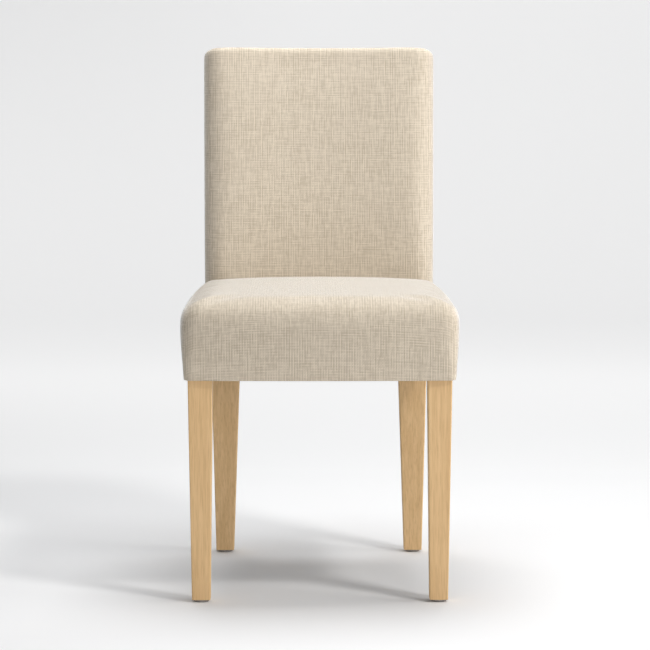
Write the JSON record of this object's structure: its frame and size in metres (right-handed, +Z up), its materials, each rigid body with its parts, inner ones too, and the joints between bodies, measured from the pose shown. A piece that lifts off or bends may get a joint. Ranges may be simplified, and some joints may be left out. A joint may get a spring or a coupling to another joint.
{
  "type": "parsons chair",
  "caption": "Armless dining chair with a thick padded seat and a leaning padded back, covered in linen-like cloth, on square tapered wooden legs.",
  "frame": {"origin": "on the floor, under the middle of the chair's overall box", "axes": "+Z up, +X to the right of someone who faces the chair from the front, -Y towards the front of the seat"},
  "size_m": [0.4712, 0.5866, 0.9448],
  "materials": {
    "oak": "satin natural oak",
    "frame_wood": "sawn beech",
    "screw_steel": "zinc plated",
    "glide_nylon": "moulded nylon",
    "webbing": "woven jute",
    "hessian": "open woven jute",
    "foam": "cut foam",
    "wadding": "soft fibre",
    "linen": "slubby plain weave",
    "dust_cloth": "non-woven"
  },
  "bodies": {
    "root": {"front_leg_left": "oak", "front_leg_right": "oak", "rear_leg_left": "oak", "rear_leg_right": "oak", "front_rail": "frame_wood", "rear_rail": "frame_wood", "side_rail_left": "frame_wood", "side_rail_right": "frame_wood", "corner_block_front_left": "frame_wood", "corner_block_front_right": "frame_wood", "corner_block_rear_left": "frame_wood", "corner_block_rear_right": "frame_wood", "block_screw_front_left_cross": "screw_steel", "block_screw_front_left_side": "screw_steel", "block_screw_front_right_cross": "screw_steel", "block_screw_front_right_side": "screw_steel", "block_screw_rear_left_cross": "screw_steel", "block_screw_rear_left_side": "screw_steel", "block_screw_rear_right_cross": "screw_steel", "block_screw_rear_right_side": "screw_steel", "lower_back_rail": "frame_wood", "crest_rail": "frame_wood", "glide_front_left": "glide_nylon", "glide_front_right": "glide_nylon", "glide_rear_left": "glide_nylon", "glide_rear_right": "glide_nylon", "seat_strap_long_1": "webbing", "seat_strap_long_2": "webbing", "seat_strap_long_3": "webbing", "seat_strap_cross_1": "webbing", "seat_strap_cross_2": "webbing", "seat_strap_cross_3": "webbing", "seat_strap_cross_4": "webbing", "back_strap_upright_1": "webbing", "back_strap_upright_2": "webbing", "back_strap_upright_3": "webbing", "back_strap_cross_1": "webbing", "back_strap_cross_2": "webbing", "back_strap_cross_3": "webbing", "deck_cloth": "hessian", "back_lining": "hessian", "seat_foam": "foam", "back_foam": "foam", "seat_wadding": "wadding", "back_wadding": "wadding", "seat_cover": "linen", "back_cover": "linen", "outside_back_panel": "linen", "dust_cover": "dust_cloth"}
  },
  "joints": []
}
